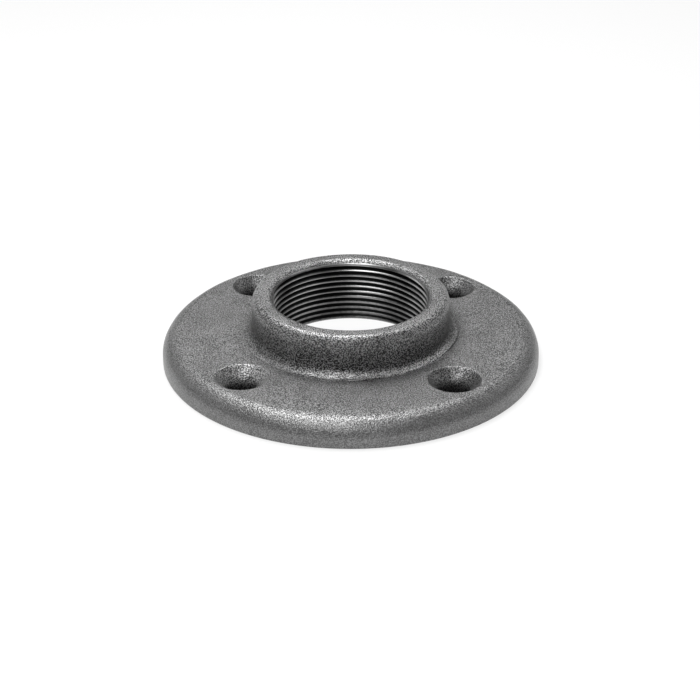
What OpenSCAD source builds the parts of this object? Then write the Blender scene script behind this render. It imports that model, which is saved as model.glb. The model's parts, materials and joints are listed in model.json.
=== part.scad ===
// Floor flange: a round cast plate with a raised hub, bored for a pipe thread, and countersunk screw holes.
// The base lies on z = 0 and the bore runs along +Z. All sizes are in millimetres.

/* [Plate] */
// Diameter of the plate
flange_d = 139.7; // [132:0.1:160]
// Thickness of the plate
flange_t = 10; // [9:0.1:14]
// Radius of the plate's rounded upper edge
rim_r = 6.8; // [1:0.1:8]
// Radius of the plate's lower edge
base_edge_r = 0.6; // [0.2:0.1:1.5]

/* [Hub] */
// Height of the hub's lip above the base
flange_h = 25.2; // [22:0.1:40]
// Wall of the hub, from the thread's crests to the outside
hub_wall = 8.2; // [7.5:0.1:9.5]
// Radius of the lip's outer edge
lip_r = 2.3; // [0.5:0.1:3]
// Radius of the shoulder that runs from the lip's edge down into the hub's wall
shoulder_r = 6; // [4:0.1:12]
// Slope at which the lip's edge passes into the shoulder, from level
shoulder_angle = 60; // [45:1:75]
// Radius of the fillet at the hub's foot
hub_fillet_r = 3.2; // [0.5:0.1:3.5]
// Width of the low ledge that the hub stands on
ledge_w = 3.6; // [3:0.1:4.5]
// Height of the ledge above the plate
ledge_h = 0.5; // [0.3:0.1:1.5]
// Radius of the ledge's edge
ledge_edge_r = 0.3; // [0.1:0.05:0.6]

/* [Pipe bore] */
// Diameter of the bore across the thread's crests
bore_d = 56.8; // [40:0.1:60]
// Radius of the rounded edge at the upper mouth
mouth_r = 2.8; // [0.5:0.1:3.5]
// Width and depth of the chamfer at the base
base_chamfer = 1.1; // [0.5:0.1:2.5]

/* [Screw holes] */
// Number of screw holes
hole_count = 4; // [3:1:8]
// Diameter of the circle through the holes' centres
hole_circle_d = 106.1; // [103:0.1:112]
// Diameter of a screw hole
hole_d = 11; // [5:0.1:12]
// Diameter of the countersink at the plate's upper face
countersink_d = 19.2; // [14:0.1:19.5]
// Full angle of the countersink
countersink_angle = 90; // [82:1:120]
// Radius of the rounded edge where the countersink passes into the hole
hole_edge_r = 5.8; // [0.5:0.1:6.5]
// Width of the broken edge round the countersink
countersink_break = 0.3; // [0.1:0.1:0.8]
// Depth of the broken edge
break_depth = 0.2; // [0.1:0.05:0.4]

/* [Hidden] */
$fn = 144;

// How far cutting and joining shapes run past the faces that they meet
overlap = 1;
// Most of a wall's length that the rounded edge in a hole may take
edge_share = 0.9;
// How far that edge's arc runs past the walls, so that it crosses them rather than touches them
edge_bite = 0.01;

flange_r = flange_d / 2;
bore_r = bore_d / 2;
hub_r = bore_r + hub_wall;
ledge_r = hub_r + ledge_w;
ledge_top = flange_t + ledge_h;
// The lip's arc lies inside the shoulder's and touches it where the slope is shoulder_angle
shoulder_in_r = hub_r - shoulder_r;
shoulder_z = flange_h - lip_r - (shoulder_r - lip_r) * cos(shoulder_angle);
shoulder_end_z = shoulder_z + shoulder_r * cos(shoulder_angle);
lip_in_r = shoulder_in_r + (shoulder_r - lip_r) * sin(shoulder_angle);
mouth_round = min(mouth_r, lip_in_r - bore_r);
hole_r = hole_d / 2;
countersink_r = countersink_d / 2;
countersink_lean = countersink_angle / 2;
countersink_depth = (countersink_r - hole_r) / tan(countersink_lean);
countersink_foot_z = flange_t - countersink_depth;
// Length of the countersink's wall and of the hole's wall that an edge of radius 1 takes
edge_reach = tan(countersink_lean / 2);
hole_round = min(
    hole_edge_r,
    edge_share * (countersink_depth - break_depth) / cos(countersink_lean) / edge_reach,
    edge_share * countersink_foot_z / edge_reach
);
// The broken edge runs from this radius on the countersink's wall to that radius on the upper face
break_inner_r = countersink_r - break_depth * tan(countersink_lean);
break_outer_r = countersink_r + countersink_break;
// Fillets stop at the walls that they round
rim_round = min(rim_r, flange_t - base_edge_r);
hub_fillet = min(hub_fillet_r, ledge_w - ledge_edge_r);
ledge_round = min(ledge_edge_r, ledge_h);

// The space between a square corner at p and an arc of radius r, which lies towards the signs in side.
// It is cut from an outside corner, or added to an inside one.
module corner_arc(p, r, side) {
    translate(p) turned_to(side) difference() {
        translate([-overlap, -overlap]) square(r + overlap);
        translate([r, r]) circle(r);
    }
}

// Mirrors its children so that +X and +Y point to the given signs
module turned_to(side) {
    mirror([side[0] < 0 ? 1 : 0, 0]) mirror([0, side[1] < 0 ? 1 : 0]) children();
}

// A ring of the section, from the bore out to radius r and from the base up to height h
module ring_section(r, h) {
    translate([bore_r, 0]) square([r - bore_r, h]);
}

// The hub's section: a straight wall, the shoulder that leans in above it, and the lip's rounded edge
module hub_section() {
    ring_section(hub_r, shoulder_z);
    ring_section(lip_in_r, flange_h);
    intersection() {
        ring_section(hub_r, shoulder_end_z);
        translate([shoulder_in_r, shoulder_z]) circle(shoulder_r);
    }
    translate([lip_in_r, flange_h - lip_r]) circle(lip_r);
}

// The triangle that is cut off the bore's edge at the base
module base_chamfer_section() {
    translate([bore_r, 0]) polygon([
        [-overlap, -overlap],
        [base_chamfer + overlap, -overlap],
        [-overlap, base_chamfer + overlap]
    ]);
}

// Half of the casting's section, in the plane of radius and height
module flange_section() {
    difference() {
        union() {
            ring_section(flange_r, flange_t);
            ring_section(ledge_r, ledge_top);
            hub_section();
            corner_arc([hub_r, ledge_top], hub_fillet, [1, 1]);
        }
        corner_arc([flange_r, flange_t], rim_round, [-1, -1]);
        corner_arc([flange_r, 0], base_edge_r, [-1, 1]);
        corner_arc([ledge_r, ledge_top], ledge_round, [-1, -1]);
        corner_arc([bore_r, flange_h], mouth_round, [1, -1]);
        base_chamfer_section();
    }
}

// Half of a screw hole's section: the hole, its countersink and the broken edge
module screw_hole_section() {
    polygon([
        [0, -overlap],
        [hole_r, -overlap],
        [hole_r, countersink_foot_z],
        [break_inner_r, flange_t - break_depth],
        [2 * break_outer_r - break_inner_r, flange_t + break_depth],
        [2 * break_outer_r - break_inner_r, flange_t + overlap],
        [0, flange_t + overlap]
    ]);
}

// What the rounded edge between the countersink and the hole takes away beyond that section
module hole_edge_section() {
    wall_gap = hole_round - edge_bite;
    centre = [hole_r + wall_gap, countersink_foot_z - wall_gap * edge_reach];
    difference() {
        polygon([
            centre,
            [hole_r - overlap, centre[1]],
            [hole_r - overlap, countersink_foot_z + overlap * edge_reach],
            centre + (wall_gap + overlap) * [-cos(countersink_lean), sin(countersink_lean)]
        ]);
        translate(centre) circle(hole_round);
    }
}

// What a screw hole takes away
module screw_hole() {
    rotate_extrude() {
        screw_hole_section();
        hole_edge_section();
    }
}

// The screw holes lie evenly on their circle, half a step from +X
module screw_holes() {
    step = 360 / hole_count;
    for (i = [0 : hole_count - 1])
        rotate([0, 0, (i + 0.5) * step]) translate([hole_circle_d / 2, 0, 0]) screw_hole();
}

module flange() {
    color([0.36, 0.36, 0.37]) difference() {
        rotate_extrude() flange_section();
        screw_holes();
    }
}

flange();
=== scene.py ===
"""Floor flange: one iron casting on a plain pale floor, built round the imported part."""
import json
import math

import bpy
import numpy as np
from mathutils import Matrix, Vector, noise


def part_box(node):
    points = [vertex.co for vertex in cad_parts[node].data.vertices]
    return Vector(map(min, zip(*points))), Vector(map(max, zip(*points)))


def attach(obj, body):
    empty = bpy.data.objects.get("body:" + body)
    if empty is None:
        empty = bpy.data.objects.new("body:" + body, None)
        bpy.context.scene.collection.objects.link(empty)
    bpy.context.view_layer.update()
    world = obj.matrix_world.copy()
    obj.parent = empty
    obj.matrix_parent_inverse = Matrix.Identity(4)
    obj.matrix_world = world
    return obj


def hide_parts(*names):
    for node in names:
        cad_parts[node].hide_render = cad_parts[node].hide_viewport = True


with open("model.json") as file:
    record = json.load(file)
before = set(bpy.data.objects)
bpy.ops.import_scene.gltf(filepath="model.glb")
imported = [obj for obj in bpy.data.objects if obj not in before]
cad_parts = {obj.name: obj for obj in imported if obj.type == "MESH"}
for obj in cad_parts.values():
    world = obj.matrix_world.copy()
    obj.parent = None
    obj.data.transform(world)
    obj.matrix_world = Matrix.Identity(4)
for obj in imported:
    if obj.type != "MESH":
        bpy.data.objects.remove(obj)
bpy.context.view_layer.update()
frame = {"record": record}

MM = 0.001
INCH = 25.4 * MM

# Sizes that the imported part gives
mounts = {mount["name"]: mount["dims"] for mount in frame["record"]["mounts"]}
box_low, box_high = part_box("flange")
FLANGE_R = box_high.x
FLANGE_H = box_high.z
BORE_R = mounts["pipe_thread"]["r_mm"] * MM
HOLE_COUNT = mounts["floor_screws"]["count"]
HOLE_CIRCLE_R = mounts["floor_screws"]["pcd_mm"] * MM / 2
HOLE_R = mounts["floor_screws"]["hole_r_mm"] * MM

# Plate
PLATE_T = 10.0 * MM
RIM_R = 6.8 * MM
BASE_EDGE_R = 0.6 * MM

# Hub: a straight wall, a shoulder that leans in above it and the lip's rounded edge
HUB_WALL = 8.2 * MM
HUB_R = BORE_R + HUB_WALL
LIP_R = 2.3 * MM
SHOULDER_R = 6.0 * MM
# Angle of the section's arcs where the shoulder's passes into the lip's
SHOULDER_END = 30
SHOULDER_IN_R = HUB_R - SHOULDER_R
SHOULDER_Z = FLANGE_H - LIP_R - (SHOULDER_R - LIP_R) * math.sin(math.radians(SHOULDER_END))
LIP_IN_R = SHOULDER_IN_R + (SHOULDER_R - LIP_R) * math.cos(math.radians(SHOULDER_END))

# The hub's foot: its fillet and the low ledge that it stands on, as radius of the fillet, width and height of
# the ledge. The ledge is crisp on one side, and on the other it is lost in the fillet.
FOOT_CRISP = (2.0 * MM, 2.7 * MM, 0.8 * MM)
FOOT_SOFT = (3.8 * MM, 4.0 * MM, 0.1 * MM)
CRISP_SIDE = math.radians(-46)
# Angles from the middle of the crisp side at which the one foot begins to pass into the other, and has
CRISP_END = (math.radians(22), math.radians(52))
# Most that the rounded edge and the rounded foot of the ledge take of its height, and their radii
LEDGE_SHARES = (0.75, 0.15)
LEDGE_EDGE_R = 0.6 * MM
LEDGE_FOOT_R = 0.1 * MM

# Bore and thread: a right-hand taper pipe thread
MOUTH_R = 2.8 * MM
BASE_CHAMFER = 1.1 * MM
THREADS_TO_INCH = 11.5
THREAD_PITCH = INCH / THREADS_TO_INCH
THREAD_DEPTH = 1.6 * MM
# Shares of the pitch that the flat crest and the flat root take
THREAD_CREST_SHARE = 0.1
THREAD_ROOT_SHARE = 0.12
# Growth of the radius for each metre up the bore
THREAD_TAPER = 1 / 32
# Height of one crest on the +Y side of the bore
THREAD_CREST_Z = 20.9 * MM
# Heights over which the thread runs out into the rounded mouth
THREAD_RUN_OUT = (22.9 * MM, 23.5 * MM)
# Above this height what the thread leaves of the rounded mouth is as cast
THREAD_END_Z = 23.8 * MM
# The thread's rows end at a ring of this radius on the rounded mouth
MOUTH_RING_R = BORE_R + 1.7 * MM
# A point of the thread nearer than this to a mouth's ring falls on the ring
MERGE_Z = 0.02 * MM

# Countersinks: their slope from level, and the rounded edge round them
COUNTERSINK_R = 9.6 * MM
COUNTERSINK_SLOPE = 45
COUNTERSINK_EDGE_R = 0.9 * MM
COUNTERSINK_EDGE_W = COUNTERSINK_EDGE_R * math.tan(math.radians(COUNTERSINK_SLOPE / 2))
COUNTERSINK_OUTER_R = COUNTERSINK_R + COUNTERSINK_EDGE_W
# The rounded edge where the countersink passes into the hole
HOLE_EDGE_R = 5.8 * MM

# Rings between which the plate's faces are parted into sectors
PLATE_INNER_R = HUB_R + 4.7 * MM
PLATE_OUTER_R = FLANGE_R - 4.9 * MM
BASE_INNER_R = HOLE_CIRCLE_R - 9 * MM
BASE_OUTER_R = HOLE_CIRCLE_R + 11 * MM

# Mesh density: points of a ring, rows of one turn of the thread, steps along a sector's side
RING_STEPS = 288
THREAD_ROWS = 12
SECTOR_SIDE_STEPS = 10
# Rows of a sector from the hole's edge out over the upper face, which get wider apart by a power, and shares
# of the way at which the rows on the base lie
PLATE_ROWS = 13
PLATE_ROW_POWER = 1.5
BASE_ROW_SHARES = (0.6, 0.3, 0.0)
BASE_RINGS = 4
# Steps of the section's arcs, and of the straight lines between them
MOUTH_STEPS = 6
LIP_STEPS = 9
SHOULDER_STEPS = 9
FILLET_STEPS = 12
LEDGE_EDGE_STEPS = 5
LEDGE_FOOT_STEPS = 4
RIM_STEPS = 18
BASE_EDGE_STEPS = 5
HOLE_EDGE_STEPS = 8
COUNTERSINK_EDGE_STEPS = 5
LINE_STEPS = 4
HOLE_LINE_STEPS = 6
# Edges that turn by more than this are drawn sharp
SHARP_ANGLE = math.radians(38)

# Wavelength and height of the casting's unevenness, in millimetres
UNEVENNESS = ((17.0, 0.09), (6.0, 0.045), (2.3, 0.018))
# It fades out below this height, towards the flat base
UNEVEN_FROM_Z = 2.0 * MM

# Slots of the mesh's materials
CAST, MACHINED = 0, 1

# Noise in the materials: its middle value, and how much of each octave is left in the next
NOISE_MIDDLE = 0.5
NOISE_ROUGHNESS = 0.55

# Cast iron: sizes of its specks, grains and mottle, and the octaves in the mottle
SPECK = 0.42 * MM
GRAIN_FINE = 0.42 * MM
GRAIN_COARSE = 1.2 * MM
MOTTLE = 9.0 * MM
MOTTLE_DETAIL = 3.0
# Shares of specks, grains and mottle in its shade, and the greys from its darkest to its palest shade
SHADE_SHARES = (0.8, 0.05, 0.15)
CAST_GREYS = ((0.38, 0.05), (0.5, 0.18), (0.62, 0.38))
# Height of the grain, the coarse grain's share in it, and how the iron shines
GRAIN_HEIGHT = 0.14 * MM
COARSE_SHARE = 0.3
CAST_METALLIC = 0.6
CAST_ROUGHNESS = 0.35
CAST_IOR = 1.5
# The hub's wall has kept its dark, patchy skin: where that begins and ends, and its greys
SKIN_FOOT = (10.0 * MM, 13.5 * MM)
SKIN_TOP = (15.0 * MM, 25.0 * MM)
SKIN_GREYS = ((0.42, 0.002), (0.5, 0.04), (0.6, 0.3))
# The lip's top is coarser: heights over which that begins, and its greys
COARSE_LIP = (23.8 * MM, 25.0 * MM)
COARSE_LIP_GREYS = ((0.41, 0.02), (0.5, 0.17), (0.59, 0.48))
# Painted shade in the screw holes, darker downwards: distance from a hole's axis over which that ends, height
# by which the base is past, heights at which it is whole and begins, and the greys of the painted shade
HOLE_REACH = (9.3 * MM, 9.9 * MM)
BASE_PAST = (0.0, 0.1 * MM)
HOLE_SHADE_HEIGHTS = (2.5 * MM, 7.0 * MM)
HOLE_SHADE_GREYS = ((0.38, 0.007), (0.5, 0.042), (0.62, 0.11))
# One countersink is lighter than the others, and the others darker: what the sum of X and Y is by the lighter
# one and by the next, and the share of light that each throws back
HOLE_LIGHTER_AT = (-60 * MM, -20 * MM)
HOLE_TONE_SHARES = (1.25, 0.64)
# Painted light and shade on the hub's foot, lighter on one side than on the other: distances from the bore's
# axis over which it begins and ends, X over which that changes, Y over which it fades, and the share by which
# it is painted lighter or darker at either end
FOOT_START = (36.8 * MM, 37.8 * MM)
FOOT_END = (39.2 * MM, 39.5 * MM)
FOOT_LIT_AT = (-25 * MM, 25 * MM)
FOOT_LIT_END = (-24 * MM, -8 * MM)
FOOT_LIGHT_SHARES = (0.65, 2.05)
# Painted shade on the plate next to the foot: distance from the axis over which that ends, X over which it
# gets darker, and the share by which it is painted darker at either end
PLATE_SHADE = (39.2 * MM, 46 * MM)
PLATE_SHADE_AT = (-32 * MM, -15 * MM)
PLATE_SHADE_SHARES = (0.85, 0.62)
# Height over which the plate's upper side begins
UPPER_SIDE = (8.0 * MM, 9.0 * MM)
# The rim is rubbed smoother: distance from the bore's axis over which that begins, and its greys
RUBBED = (64 * MM, 69 * MM)
RUBBED_GREYS = ((0.38, 0.12), (0.5, 0.18), (0.62, 0.25))

# Threaded iron: greys from the crests down into the grooves, dark there from oil and from painted shade, and
# how it shines
THREAD_GREYS = ((0.0, 0.75), (0.14, 0.5), (0.45, 0.05))
THREAD_METALLIC = 0.9
THREAD_ROUGHNESS = 0.28
# Heights over which the grooves pass into the bright ring that was turned above them
TURNED_RING = (22.9 * MM, 23.3 * MM)
# Streaks of wear: their size, octaves, share in the shade, height and strength
STREAK = 1.2 * MM
STREAK_DETAIL = 3.0
STREAK_SHARE = 0.2
STREAK_HEIGHT = 0.05 * MM
STREAK_STRENGTH = 0.3
# Painted highlights in brighter and duller stretches round the bore: how many, where one is brightest, the
# least left
HIGHLIGHT_STRETCHES = 7
HIGHLIGHT_STRETCH_AT = math.radians(79)
HIGHLIGHT_STRETCH_LEAST = 0.5

# How much of the floor's look is its own white rather than the light on it, outside the plate and in the bore
FLOOR_GLOW_SHARE = 0.7
BORE_GLOW_SHARE = 0.97
# In the iron's reflections that white fades between these distances from the bore's axis, to this level
FLOOR_POOL = (0.09, 0.25)
FLOOR_FAR = 0.2
# The floor's grey in the open, the grey of its painted shadow under the plate, and half of its width
FLOOR_GREY = 0.9
FLOOR_SHADOW_GREY = 0.06
FLOOR_HALF = 4.0

# Soft boxes: place, width and depth in metres, and power in watts
BOXES = {
    "overhead": ((-0.12, 0.1, 0.8), 0.8, 0.45, 6.1),
    "back": ((-0.1, 0.3, 0.8), 0.5, 0.5, 1.5),
    "front": ((-0.1, -0.5, 0.58), 0.4, 0.4, 2.0),
}
# The room's light in front of the part and behind it
SKY_FRONT = 0.55
SKY_BACK = 1.2
# Upward share of a direction at which that light begins, is whole and ends
SKY_BAND = (0.25, 0.5, 0.75)
# Backward share of a direction over which the front passes into the back
SKY_TURN = (-0.3, 0.3)

# The camera, fitted to the outlines in the photograph's 700 pixel square frame
FRAME_PX = 700
FOCAL_PX = 1716.8
CAMERA_DISTANCE = 0.6423
CAMERA_AZIMUTH = math.radians(1.62)
CAMERA_ELEVATION = math.radians(27.625)
CAMERA_ROLL = math.radians(-0.125)
# Where the origin shows in that frame
ORIGIN_PX = (350.83, 353.49)
SENSOR_MM = 36

RING_ANGLES = [2 * math.pi * i / RING_STEPS for i in range(RING_STEPS)]
RING_DIRECTIONS = [(math.cos(a), math.sin(a)) for a in RING_ANGLES]


def crisp_share(angle):
    """How crisp the hub's foot is at an angle round the bore, from 0 to 1."""
    whole, none = (math.cos(end) for end in CRISP_END)
    return min(1.0, max(0.0, (math.cos(angle - CRISP_SIDE) - none) / (whole - none)))


class Skin:
    """Points and faces of one closed surface, grown row by row."""

    def __init__(self):
        self.points = []
        self.faces = []
        self.slots = []

    def row(self, points):
        """Adds points and returns their numbers."""
        first = len(self.points)
        self.points.extend(points)
        return list(range(first, len(self.points)))

    def ring(self, r, z):
        """Adds a circle round the bore's axis."""
        return self.row([(r * c, r * s, z) for c, s in RING_DIRECTIONS])

    def blended_ring(self, crisp, soft):
        """Adds a ring that passes from one point of the section on the crisp side to another on the soft."""
        points = []
        for (c, s), angle in zip(RING_DIRECTIONS, RING_ANGLES):
            share = crisp_share(angle)
            r = soft[0] + (crisp[0] - soft[0]) * share
            points.append((r * c, r * s, soft[1] + (crisp[1] - soft[1]) * share))
        return self.row(points)

    def face(self, corners, slot):
        """Adds one face, without the corners that fall together."""
        kept = [c for i, c in enumerate(corners) if c != corners[i - 1]]
        if len(kept) > 2:
            self.faces.append(kept)
            self.slots.append(slot)

    def bridge(self, a, b, slot=CAST):
        """Joins two closed rows of the same length. Its outside is to the right of the way from a to b."""
        for i in range(len(a)):
            j = (i + 1) % len(a)
            self.face((a[i], b[i], b[j], a[j]), slot)

    def chain(self, rows, slot=CAST):
        """Joins rows one after the other."""
        for a, b in zip(rows, rows[1:]):
            self.bridge(a, b, slot)


def arc(centre, radius, start, end, steps):
    """Section points along an arc, from one angle to another in degrees."""
    angles = [math.radians(start + (end - start) * i / steps) for i in range(steps + 1)]
    return [(centre[0] + radius * math.cos(a), centre[1] + radius * math.sin(a)) for a in angles]


def line(a, b, steps):
    """Section points between two points, without either end."""
    return [(a[0] + (b[0] - a[0]) * i / steps, a[1] + (b[1] - a[1]) * i / steps) for i in range(1, steps)]


def joined(*stretches, steps=LINE_STEPS):
    """One run of section points: straight lines of the given steps join the stretches."""
    points = list(stretches[0])
    for stretch in stretches[1:]:
        points += line(points[-1], stretch[0], steps) + list(stretch)
    return points


def plate_top(r):
    """Height of the plate's upper face at radius r, over the rounded rim too."""
    past = max(0.0, r - (FLANGE_R - RIM_R))
    return PLATE_T - RIM_R + math.sqrt(RIM_R ** 2 - past ** 2)


def hub_section(plate_r, foot):
    """The section from the ring on the bore's mouth, over the lip and down to the plate at radius plate_r."""
    fillet_r, ledge_w, ledge_h = foot
    ledge_r = HUB_R + ledge_w
    ledge_top = PLATE_T + ledge_h
    edge_r = min(LEDGE_EDGE_R, ledge_h * LEDGE_SHARES[0])
    foot_r = min(LEDGE_FOOT_R, ledge_h * LEDGE_SHARES[1])
    mouth_in_r = BORE_R + MOUTH_R
    mouth_start = math.degrees(math.acos((MOUTH_RING_R - mouth_in_r) / MOUTH_R))
    lip = arc((LIP_IN_R, FLANGE_H - LIP_R), LIP_R, 90, SHOULDER_END, LIP_STEPS)
    shoulder = arc((SHOULDER_IN_R, SHOULDER_Z), SHOULDER_R, SHOULDER_END, 0, SHOULDER_STEPS)
    return joined(
        arc((mouth_in_r, FLANGE_H - MOUTH_R), MOUTH_R, mouth_start, 90, MOUTH_STEPS),
        lip + shoulder[1:],
        arc((HUB_R + fillet_r, ledge_top + fillet_r), fillet_r, 180, 270, FILLET_STEPS),
        arc((ledge_r - edge_r, ledge_top - edge_r), edge_r, 90, 0, LEDGE_EDGE_STEPS),
        arc((ledge_r + foot_r, PLATE_T + foot_r), foot_r, 180, 270, LEDGE_FOOT_STEPS),
        [(plate_r, PLATE_T)],
    )


def rim_section(plate_r, base_r):
    """The section from the plate's upper face at plate_r, round the rim and in to base_r on the base."""
    start = math.degrees(math.acos((plate_r - (FLANGE_R - RIM_R)) / RIM_R))
    return joined(
        arc((FLANGE_R - RIM_R, PLATE_T - RIM_R), RIM_R, start, 0, RIM_STEPS),
        arc((FLANGE_R - BASE_EDGE_R, BASE_EDGE_R), BASE_EDGE_R, 0, -90, BASE_EDGE_STEPS),
        [(base_r, 0.0)],
    )


def sector_lines(skin, inner_r, outer_r, height):
    """The radial rows from inner_r to outer_r that part the plate into a sector a hole, without their ends."""
    rows = []
    for sector in range(HOLE_COUNT):
        c, s = RING_DIRECTIONS[sector * RING_STEPS // HOLE_COUNT]
        radii = [inner_r + (outer_r - inner_r) * i / SECTOR_SIDE_STEPS for i in range(1, SECTOR_SIDE_STEPS)]
        rows.append(skin.row([(r * c, r * s, height(r)) for r in radii]))
    return rows


def sector_loop(inner, outer, lines, sector):
    """The closed row round one sector: its outer arc, one side inwards, its inner arc and the other side."""
    span = RING_STEPS // HOLE_COUNT
    steps = [(sector * span + i) % RING_STEPS for i in range(span + 1)]
    after = lines[(sector + 1) % HOLE_COUNT]
    before = lines[sector]
    return [outer[i] for i in steps] + after[::-1] + [inner[i] for i in steps[::-1]] + before


def hole_turn(sector):
    """The way from the bore's axis to a sector's hole, as a complex number."""
    return np.exp(2j * math.pi * (sector + 0.5) / HOLE_COUNT)


def sector_ways(skin, loop, turn):
    """The points of a sector's loop, turned so that its hole lies along X, and the ways to them from the
    hole's axis, as if the sector were rolled out straight."""
    ends = np.array([complex(*skin.points[i][:2]) for i in loop]) / turn
    ways = np.abs(ends) - HOLE_CIRCLE_R + 1j * np.angle(ends) * HOLE_CIRCLE_R
    return ends, ways / np.abs(ways)


def sector_rows(skin, loop, turn, radius, height, shares):
    """Rows from a hole's edge of the given radius out towards the sector's loop, at shares of the way.

    They run evenly in angle and in distance round the bore's axis, so that none crosses the inner arc.
    """
    ends, ways = sector_ways(skin, loop, turn)
    edge = HOLE_CIRCLE_R + radius * ways
    rows = []
    for share in shares:
        r = np.abs(edge) + (np.abs(ends) - np.abs(edge)) * share
        angle = np.angle(edge) + (np.angle(ends) - np.angle(edge)) * share
        flat = r * np.exp(1j * angle) * turn
        rows.append(skin.row([(p.real, p.imag, height(abs(p))) for p in flat]))
    return rows


def hole_rows(skin, loop, turn):
    """Rows up a screw hole's wall, with points that lie as those of the sector's loop do."""
    _, ways = sector_ways(skin, loop, turn)
    rows = []
    for r, z in hole_section():
        flat = (HOLE_CIRCLE_R + r * ways) * turn
        rows.append(skin.row([(p.real, p.imag, z * plate_top(abs(p)) / PLATE_T) for p in flat]))
    return rows


def hole_section():
    """The section of a screw hole's wall from above the base up to its rounded edge, as radius and height."""
    lean = math.radians(90 - COUNTERSINK_SLOPE)
    foot_z = PLATE_T - (COUNTERSINK_R - HOLE_R) / math.tan(lean)
    inner = arc((HOLE_R + HOLE_EDGE_R, foot_z - HOLE_EDGE_R * math.tan(lean / 2)), HOLE_EDGE_R,
                180, 90 + COUNTERSINK_SLOPE, HOLE_EDGE_STEPS)
    edge = arc((COUNTERSINK_OUTER_R, PLATE_T - COUNTERSINK_EDGE_R), COUNTERSINK_EDGE_R,
               90 + COUNTERSINK_SLOPE, 90, COUNTERSINK_EDGE_STEPS)
    return joined([(HOLE_R, 0.0)], inner, edge[:-1], steps=HOLE_LINE_STEPS)[1:]


def build_plate(skin, upper_inner, upper_outer, base_outer, base_inner):
    """The plate's two faces with the screw holes through them, between the rings that bound the faces."""
    upper_lines = sector_lines(skin, PLATE_INNER_R, PLATE_OUTER_R, plate_top)
    base_lines = sector_lines(skin, BASE_INNER_R, BASE_OUTER_R, lambda r: 0.0)
    upper_shares = [(i / PLATE_ROWS) ** PLATE_ROW_POWER for i in range(PLATE_ROWS)]
    for sector in range(HOLE_COUNT):
        turn = hole_turn(sector)
        base_loop = sector_loop(base_inner, base_outer, base_lines, sector)
        upper_loop = sector_loop(upper_inner, upper_outer, upper_lines, sector)
        under = sector_rows(skin, base_loop, turn, HOLE_R, lambda r: 0.0, BASE_ROW_SHARES)
        wall = hole_rows(skin, upper_loop, turn)
        over = sector_rows(skin, upper_loop, turn, COUNTERSINK_OUTER_R, plate_top, upper_shares)
        skin.chain([base_loop, *under, *wall, *over, upper_loop])


def thread_radius(turn_share, z):
    """Radius of the threaded wall at a share of one pitch, counted from the middle of a crest."""
    away = min(turn_share, 1 - turn_share)
    flank = (away - THREAD_CREST_SHARE / 2) / (0.5 - THREAD_CREST_SHARE / 2 - THREAD_ROOT_SHARE / 2)
    crest_r = BORE_R - (FLANGE_H - MOUTH_R - z) * THREAD_TAPER
    low, high = THREAD_RUN_OUT
    left = min(1.0, max(0.0, (high - z) / (high - low)))
    return crest_r + THREAD_DEPTH * left * min(1.0, max(0.0, flank))


def mouth_radius(z):
    """Radius of the rounded upper mouth at height z."""
    up = max(0.0, z - (FLANGE_H - MOUTH_R))
    return BORE_R + MOUTH_R - math.sqrt(MOUTH_R ** 2 - up ** 2)


def bore_radius(turn_share, z):
    """Radius of the bore's wall: the thread, cut back by the rounded mouth and the chamfer at the base."""
    return max(thread_radius(turn_share, z), mouth_radius(z), BORE_R + BASE_CHAMFER - z)


def build_bore(skin, base_ring, top_ring, top_z):
    """The threaded wall. Its rows follow the thread, so each closed turn ends one pitch higher."""
    step_z = THREAD_PITCH / THREAD_ROWS
    crest_at_start = THREAD_CREST_Z - THREAD_PITCH / 4
    first = -math.ceil((crest_at_start / THREAD_PITCH + 1)) * THREAD_ROWS
    last = math.ceil((FLANGE_H - crest_at_start) / step_z) + 1
    numbers = {}
    cast = set(top_ring)
    for j in range(first, last + THREAD_ROWS + 1):
        share = (j % THREAD_ROWS) / THREAD_ROWS
        for i, (c, s) in enumerate(RING_DIRECTIONS):
            z = crest_at_start + j * step_z + THREAD_PITCH * i / RING_STEPS
            if z >= top_z - MERGE_Z:
                numbers[i, j] = top_ring[i]
            elif z <= MERGE_Z:
                numbers[i, j] = base_ring[i]
            else:
                r = bore_radius(share, z)
                numbers[i, j] = skin.row([(r * c, r * s, z)])[0]
                if z > THREAD_END_Z and r == mouth_radius(z):
                    cast.add(numbers[i, j])
    for j in range(first, last):
        for i in range(RING_STEPS):
            k, up = (i + 1, 0) if i + 1 < RING_STEPS else (0, THREAD_ROWS)
            corners = (numbers[i, j], numbers[i, j + 1], numbers[k, j + 1 + up], numbers[k, j + up])
            skin.face(corners, CAST if all(c in cast for c in corners) else MACHINED)


def build_skin():
    """The whole casting as one closed surface."""
    skin = Skin()
    crisp = hub_section(PLATE_INNER_R, FOOT_CRISP)
    soft = hub_section(PLATE_INNER_R, FOOT_SOFT)
    hub = [skin.blended_ring(a, b) for a, b in zip(crisp, soft)]
    rim = [skin.ring(r, z) for r, z in rim_section(PLATE_OUTER_R, BASE_OUTER_R)]
    base = [skin.ring(r, 0.0) for r in np.linspace(BASE_INNER_R, BORE_R + BASE_CHAMFER, BASE_RINGS)]
    skin.chain(hub)
    skin.chain(rim)
    skin.chain(base)
    build_plate(skin, hub[-1], rim[0], rim[-1], base[0])
    build_bore(skin, base[-1], hub[0], crisp[0][1])
    return skin


def cast_unevenness(point):
    """How far the sand mould left the surface off its true form, in metres."""
    p = Vector(point) / MM
    return MM * sum(height * noise.noise(p / length) for length, height in UNEVENNESS)


def roughen(mesh):
    """Moves the cast surface by its unevenness. The base and the machined bore stay true."""
    normals = np.empty(len(mesh.vertices) * 3)
    mesh.vertices.foreach_get("normal", normals)
    machined = {v for face in mesh.polygons if face.material_index == MACHINED for v in face.vertices}
    for vertex, normal in zip(mesh.vertices, normals.reshape(-1, 3)):
        lift = min(1.0, vertex.co.z / UNEVEN_FROM_Z)
        if vertex.index not in machined and lift > 0:
            vertex.co += Vector(normal) * (cast_unevenness(vertex.co) * lift)
    mesh.update()


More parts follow.
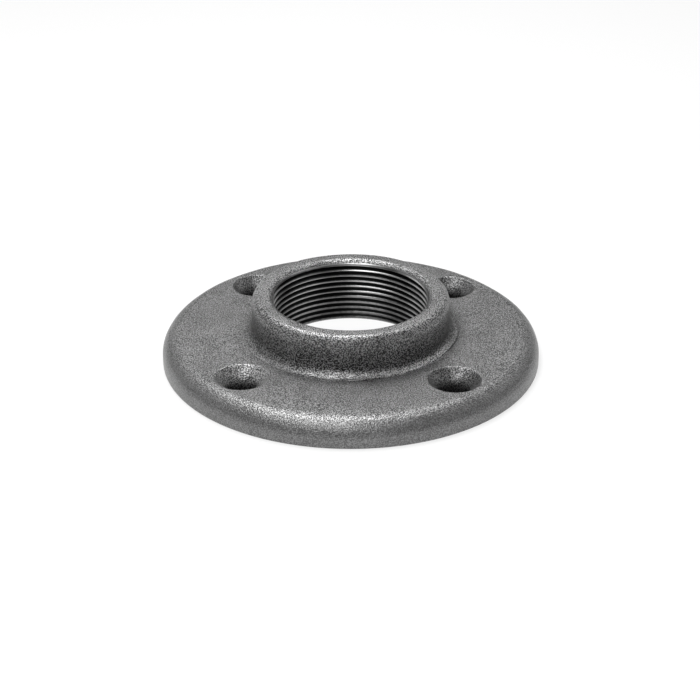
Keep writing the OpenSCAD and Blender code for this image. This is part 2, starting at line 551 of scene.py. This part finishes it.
def make_flange():
    skin = build_skin()
    mesh = bpy.data.meshes.new("floor_flange")
    mesh.from_pydata(skin.points, [], skin.faces)
    mesh.polygons.foreach_set("material_index", skin.slots)
    mesh.update()
    roughen(mesh)
    mesh.shade_smooth()
    mesh.set_sharp_from_angle(angle=SHARP_ANGLE)
    mesh.materials.append(cast_iron())
    mesh.materials.append(threaded_iron())
    piece = bpy.data.objects.new("floor_flange", mesh)
    bpy.context.scene.collection.objects.link(piece)
    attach(piece, "root")
    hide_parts("flange")


class Nodes:
    """A node tree, with short calls to add and link nodes."""

    def __init__(self, tree):
        self.tree = tree

    def add(self, kind, inputs=None, **settings):
        """Adds a node. Inputs are values, or sockets to link."""
        node = self.tree.nodes.new(kind)
        for key, value in settings.items():
            setattr(node, key, value)
        for key, value in (inputs or {}).items():
            if isinstance(value, bpy.types.NodeSocket):
                self.tree.links.new(value, node.inputs[key])
            else:
                node.inputs[key].default_value = value
        return node

    def math(self, operation, a, b):
        return self.add("ShaderNodeMath", {0: a, 1: b}, operation=operation).outputs[0]

    def partly(self, factor, share):
        """A factor that counts by the given share, and is 1 where the share is 0."""
        return self.math("ADD", self.math("MULTIPLY", self.math("SUBTRACT", factor, 1.0), share), 1.0)

    def spread(self, value, start, end):
        """A value's smooth rise from one range to another."""
        inputs = {"Value": value, "From Min": start[0], "From Max": start[1]}
        inputs.update({"To Min": end[0], "To Max": end[1]})
        return self.add("ShaderNodeMapRange", inputs, interpolation_type="SMOOTHSTEP").outputs[0]


class Shader(Nodes):
    """A material's nodes."""

    def __init__(self, name):
        self.material = bpy.data.materials.new(name)
        self.material.use_nodes = True
        super().__init__(self.material.node_tree)
        self.tree.nodes.clear()
        self.output = self.add("ShaderNodeOutputMaterial")

    def place(self):
        """Where a point lies in the part's own frame."""
        return self.add("ShaderNodeTexCoord").outputs["Object"]

    def radius(self, place=None):
        """Distance from the bore's axis, of the point itself where no place is given."""
        place = place or self.place()
        across = self.add("ShaderNodeVectorMath", {0: place, 1: (1, 1, 0)}, operation="MULTIPLY")
        return self.add("ShaderNodeVectorMath", {0: across.outputs[0]}, operation="LENGTH").outputs["Value"]

    def height(self):
        return self.add("ShaderNodeSeparateXYZ", {0: self.place()}).outputs["Z"]

    def grain(self, size, detail=0.0):
        """A noise whose features are about the given size."""
        inputs = {"Vector": self.place(), "Scale": 1 / size, "Detail": detail, "Roughness": NOISE_ROUGHNESS}
        return self.add("ShaderNodeTexNoise", inputs).outputs[0]

    def ramp(self, factor, stops):
        """Maps a factor to greys through (place, grey) stops."""
        node = self.add("ShaderNodeValToRGB", {"Fac": factor})
        elements = node.color_ramp.elements
        while len(elements) < len(stops):
            elements.new(0.5)
        for element, (at, grey) in zip(elements, stops):
            element.position = at
            element.color = (grey, grey, grey, 1)
        return node.outputs["Color"]

    def blend(self, share, a, b):
        """A colour that passes from a to b."""
        node = self.add("ShaderNodeMix", data_type="RGBA")
        colours = [socket for socket in node.inputs if socket.type == "RGBA"]
        for socket, source in ((node.inputs[0], share), (colours[0], a), (colours[1], b)):
            self.tree.links.new(source, socket)
        return next(socket for socket in node.outputs if socket.type == "RGBA")

    def scaled(self, colour, share):
        """A colour made brighter or darker."""
        return self.add("ShaderNodeVectorMath", {0: colour, "Scale": share}, operation="SCALE").outputs[0]

    def surface(self, shader):
        self.tree.links.new(shader.outputs[0], self.output.inputs["Surface"])
        return self.material


def in_hole(s, z):
    """1 inside the screw holes and 0 elsewhere. They lie alike in the four quarters, so one is measured."""
    folded = s.add("ShaderNodeVectorMath", {0: s.place()}, operation="ABSOLUTE").outputs[0]
    axis = hole_turn(0) * HOLE_CIRCLE_R
    off = s.add("ShaderNodeVectorMath", {0: folded, 1: (axis.real, axis.imag, 0)}, operation="SUBTRACT")
    near = s.spread(s.radius(off.outputs[0]), HOLE_REACH, (1, 0))
    return s.math("MULTIPLY", near, s.spread(z, BASE_PAST, (0, 1)))


def hole_shine(s, inside):
    """How much more or less light than the rest of the casting the countersinks throw back."""
    across = s.add("ShaderNodeVectorMath", {0: s.place(), 1: (1, 1, 0)}, operation="DOT_PRODUCT")
    share = s.spread(across.outputs["Value"], HOLE_LIGHTER_AT, HOLE_TONE_SHARES)
    return s.partly(share, inside)


def foot_painted_light(s, z, radius):
    """Painted light and shade round the hub's foot: the foot painted lighter on one side than on the other,
    and painted shade on the plate next to it.
    """
    at = s.add("ShaderNodeSeparateXYZ", {0: s.place()}).outputs
    lit = s.spread(at["X"], FOOT_LIT_AT, FOOT_LIGHT_SHARES)
    front = s.spread(at["Y"], FOOT_LIT_END, (1, 0))
    foot = s.partly(lit, s.math("MULTIPLY", s.spread(radius, FOOT_START, (0, 1)), front))
    plate = s.spread(radius, PLATE_SHADE, (s.spread(at["X"], PLATE_SHADE_AT, PLATE_SHADE_SHARES), 1))
    inside = s.spread(radius, FOOT_END, (1, 0))
    share = s.math("ADD", s.math("MULTIPLY", s.math("SUBTRACT", foot, plate), inside), plate)
    return s.partly(share, s.spread(z, UPPER_SIDE, (0, 1)))


def cast_iron():
    """As-cast iron: dark grey, with the sand's fine grain and a faint mottle, painted shade in the screw holes
    and painted light and shade round the hub's foot.
    """
    s = Shader("cast_iron")
    specks = s.grain(SPECK)
    fine = s.grain(GRAIN_FINE)
    coarse = s.grain(GRAIN_COARSE)
    mottle = s.grain(MOTTLE, MOTTLE_DETAIL)
    shade = 0.0
    for part, share in zip((specks, fine, mottle), SHADE_SHARES):
        shade = s.math("ADD", s.math("MULTIPLY", part, share), shade)
    z = s.height()
    wall = s.math("MULTIPLY", s.spread(z, SKIN_FOOT, (0, 1)), s.spread(z, SKIN_TOP, (1, 0)))
    colour = s.blend(wall, s.ramp(shade, CAST_GREYS), s.ramp(shade, SKIN_GREYS))
    colour = s.blend(s.spread(z, COARSE_LIP, (0, 1)), colour, s.ramp(shade, COARSE_LIP_GREYS))
    radius = s.radius()
    inside = in_hole(s, z)
    # Painted shade down in the screw holes, darker downwards
    hole_shade = s.math("MULTIPLY", s.spread(z, HOLE_SHADE_HEIGHTS, (1, 0)), inside)
    colour = s.blend(hole_shade, colour, s.ramp(shade, HOLE_SHADE_GREYS))
    colour = s.scaled(colour, hole_shine(s, inside))
    # Painted light and shade round the hub's foot
    colour = s.scaled(colour, foot_painted_light(s, z, radius))
    colour = s.blend(s.spread(radius, RUBBED, (0, 1)), colour, s.ramp(shade, RUBBED_GREYS))
    height = s.math("ADD", fine, s.math("MULTIPLY", coarse, COARSE_SHARE))
    bump = s.add("ShaderNodeBump", {"Height": height, "Strength": 1.0, "Distance": GRAIN_HEIGHT})
    return s.surface(s.add("ShaderNodeBsdfPrincipled", {
        "Base Color": colour, "Metallic": CAST_METALLIC, "Roughness": CAST_ROUGHNESS, "IOR": CAST_IOR,
        "Normal": bump.outputs[0]}))


def threaded_iron():
    """Cut and oiled iron: bright at the crests, black down in the grooves from oil and from painted shade,
    with painted highlights in stretches round the bore.
    """
    s = Shader("threaded_iron")
    at = s.add("ShaderNodeSeparateXYZ", {0: s.place()}).outputs
    crest_rise = s.math("MULTIPLY", s.math("SUBTRACT", at["Z"], FLANGE_H - MOUTH_R), THREAD_TAPER)
    depth = s.math("SUBTRACT", s.math("SUBTRACT", s.radius(), BORE_R), crest_rise)
    streak = s.grain(STREAK, STREAK_DETAIL)
    # Darker with depth into the grooves: dark oil and painted shade, with streaks of wear
    groove_shade_and_wear = s.math("ADD", s.math("DIVIDE", depth, THREAD_DEPTH),
                  s.math("MULTIPLY", s.math("SUBTRACT", streak, NOISE_MIDDLE), STREAK_SHARE))
    groove_shade_and_wear = s.math("MULTIPLY", groove_shade_and_wear, s.spread(at["Z"], TURNED_RING, (1, 0)))
    # Painted highlights in stretches round the bore
    turn = s.math("SUBTRACT", s.math("ARCTAN2", at["Y"], at["X"]), HIGHLIGHT_STRETCH_AT)
    wave = s.math("COSINE", s.math("MULTIPLY", turn, HIGHLIGHT_STRETCHES), 0.0)
    left = s.spread(wave, (-1, 1), (HIGHLIGHT_STRETCH_LEAST, 1))
    colour = s.scaled(s.ramp(groove_shade_and_wear, THREAD_GREYS), left)
    bump = s.add("ShaderNodeBump", {"Height": streak, "Strength": STREAK_STRENGTH, "Distance": STREAK_HEIGHT})
    return s.surface(s.add("ShaderNodeBsdfPrincipled", {
        "Base Color": colour, "Metallic": THREAD_METALLIC, "Roughness": THREAD_ROUGHNESS,
        "Normal": bump.outputs[0]}))


def pale_floor():
    """A white floor, brightened for what looks at it or mirrors it, which keeps the object's shadow and is
    painted dark under the plate as its shadow.
    """
    s = Shader("pale_floor")
    path = s.add("ShaderNodeLightPath")
    radius = s.radius()
    pool = s.spread(radius, FLOOR_POOL, (1.0, FLOOR_FAR))
    mirrored = s.math("MULTIPLY", path.outputs["Is Glossy Ray"], pool)
    seen = s.math("MAXIMUM", path.outputs["Is Camera Ray"], mirrored)
    seen = s.math("MAXIMUM", seen, path.outputs["Is Transmission Ray"])
    outside = s.math("GREATER_THAN", radius, FLANGE_R - BASE_EDGE_R)
    in_bore = s.math("LESS_THAN", radius, BORE_R + BASE_CHAMFER)
    glowing = s.math("ADD", s.math("MULTIPLY", outside, FLOOR_GLOW_SHARE),
                     s.math("MULTIPLY", in_bore, BORE_GLOW_SHARE))
    share = s.math("MULTIPLY", seen, glowing)
    # Under the plate the floor is painted dark as the plate's shadow
    grey = s.ramp(outside, ((0.0, FLOOR_SHADOW_GREY), (1.0, FLOOR_GREY)))
    matt = s.add("ShaderNodeBsdfDiffuse", {"Color": grey})
    glow = s.add("ShaderNodeEmission", {"Color": (1, 1, 1, 1), "Strength": 1.0})
    return s.surface(s.add("ShaderNodeMixShader", {0: share, 1: matt.outputs[0], 2: glow.outputs[0]}))


def make_floor():
    corners = [(-FLOOR_HALF, -FLOOR_HALF, 0), (FLOOR_HALF, -FLOOR_HALF, 0),
               (FLOOR_HALF, FLOOR_HALF, 0), (-FLOOR_HALF, FLOOR_HALF, 0)]
    mesh = bpy.data.meshes.new("floor")
    mesh.from_pydata(corners, [], [(0, 1, 2, 3)])
    mesh.materials.append(pale_floor())
    floor = bpy.data.objects.new("floor", mesh)
    bpy.context.scene.collection.objects.link(floor)


def make_camera():
    a, e = CAMERA_AZIMUTH, CAMERA_ELEVATION
    back = Vector((math.sin(a) * math.cos(e), -math.cos(a) * math.cos(e), math.sin(e)))
    right = Vector((math.cos(a), math.sin(a), 0))
    turn = Matrix.Rotation(CAMERA_ROLL, 3, back)
    right = turn @ right
    up = back.cross(right)
    aside = (ORIGIN_PX[0] - FRAME_PX / 2) / FOCAL_PX
    below = (ORIGIN_PX[1] - FRAME_PX / 2) / FOCAL_PX
    data = bpy.data.cameras.new("camera")
    data.sensor_width = SENSOR_MM
    data.lens = FOCAL_PX * SENSOR_MM / FRAME_PX
    camera = bpy.data.objects.new("camera", data)
    place = (back - right * aside + up * below) * CAMERA_DISTANCE
    camera.matrix_world = Matrix.Translation(place) @ Matrix((right, up, back)).transposed().to_4x4()
    bpy.context.scene.collection.objects.link(camera)
    bpy.context.scene.camera = camera


def area_light(name, place, width, depth, power):
    """A soft box that faces the hub."""
    data = bpy.data.lights.new(name, "AREA")
    data.shape = "RECTANGLE"
    data.size = width
    data.size_y = depth
    data.energy = power
    light = bpy.data.objects.new(name, data)
    light.location = place
    light.rotation_euler = (Vector(place) - Vector((0, 0, FLANGE_H / 2))).to_track_quat("Z", "Y").to_euler()
    bpy.context.scene.collection.objects.link(light)


def make_light():
    for name, (place, width, depth, power) in BOXES.items():
        area_light(name, place, width, depth, power)
    world = bpy.data.worlds.new("studio")
    world.use_nodes = True
    n = Nodes(world.node_tree)
    way = n.add("ShaderNodeSeparateXYZ", {0: n.add("ShaderNodeTexCoord").outputs["Generated"]})
    rise = n.spread(way.outputs["Z"], SKY_BAND[:2], (0, 1))
    fall = n.spread(way.outputs["Z"], SKY_BAND[1:], (1, 0))
    level = n.spread(way.outputs["Y"], SKY_TURN, (SKY_FRONT, SKY_BACK))
    strength = n.math("MULTIPLY", level, n.math("MULTIPLY", rise, fall))
    background = n.tree.nodes["Background"]
    background.inputs["Color"].default_value = (1, 1, 1, 1)
    n.tree.links.new(strength, background.inputs["Strength"])
    bpy.context.scene.world = world


bpy.context.scene.view_settings.view_transform = "Standard"
make_camera()
make_flange()
make_floor()
make_light()
